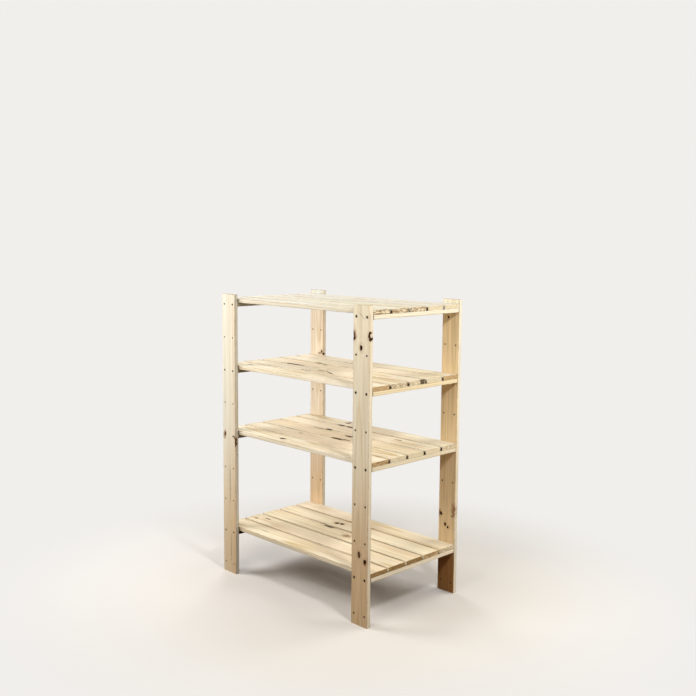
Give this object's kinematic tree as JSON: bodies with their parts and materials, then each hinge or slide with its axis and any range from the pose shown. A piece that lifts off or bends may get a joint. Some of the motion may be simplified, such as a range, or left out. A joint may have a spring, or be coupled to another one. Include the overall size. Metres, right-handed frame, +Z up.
{
  "type": "wooden shelving unit",
  "caption": "Free-standing pine shelving unit: flat drilled uprights at the corners carry slatted shelves screwed between them, with open hole pairs as spare shelf positions.",
  "frame": {"origin": "on the floor, under the middle of the unit", "axes": "+Z up, X along the slats, Y from front to back"},
  "size_m": [0.93, 0.561, 1.29],
  "materials": {
    "upright_pine": "bare planed pine",
    "slat_pine": "bare planed pine",
    "batten_pine": "bare planed pine",
    "screw_steel": "black phosphate",
    "brad_steel": "bright wire"
  },
  "bodies": {
    "root": {"upright_front_left": "upright_pine", "upright_front_right": "upright_pine", "upright_back_left": "upright_pine", "upright_back_right": "upright_pine", "bottom_shelf_slat_1": "slat_pine", "bottom_shelf_slat_2": "slat_pine", "bottom_shelf_slat_3": "slat_pine", "bottom_shelf_slat_4": "slat_pine", "bottom_shelf_slat_5": "slat_pine", "bottom_shelf_batten_left": "batten_pine", "bottom_shelf_batten_right": "batten_pine", "bottom_shelf_screws": "screw_steel", "bottom_shelf_brads": "brad_steel", "lower_shelf_slat_1": "slat_pine", "lower_shelf_slat_2": "slat_pine", "lower_shelf_slat_3": "slat_pine", "lower_shelf_slat_4": "slat_pine", "lower_shelf_slat_5": "slat_pine", "lower_shelf_batten_left": "batten_pine", "lower_shelf_batten_right": "batten_pine", "lower_shelf_screws": "screw_steel", "lower_shelf_brads": "brad_steel", "upper_shelf_slat_1": "slat_pine", "upper_shelf_slat_2": "slat_pine", "upper_shelf_slat_3": "slat_pine", "upper_shelf_slat_4": "slat_pine", "upper_shelf_slat_5": "slat_pine", "upper_shelf_batten_left": "batten_pine", "upper_shelf_batten_right": "batten_pine", "upper_shelf_screws": "screw_steel", "upper_shelf_brads": "brad_steel", "top_shelf_slat_1": "slat_pine", "top_shelf_slat_2": "slat_pine", "top_shelf_slat_3": "slat_pine", "top_shelf_slat_4": "slat_pine", "top_shelf_slat_5": "slat_pine", "top_shelf_batten_left": "batten_pine", "top_shelf_batten_right": "batten_pine", "top_shelf_screws": "screw_steel", "top_shelf_brads": "brad_steel"}
  },
  "joints": []
}
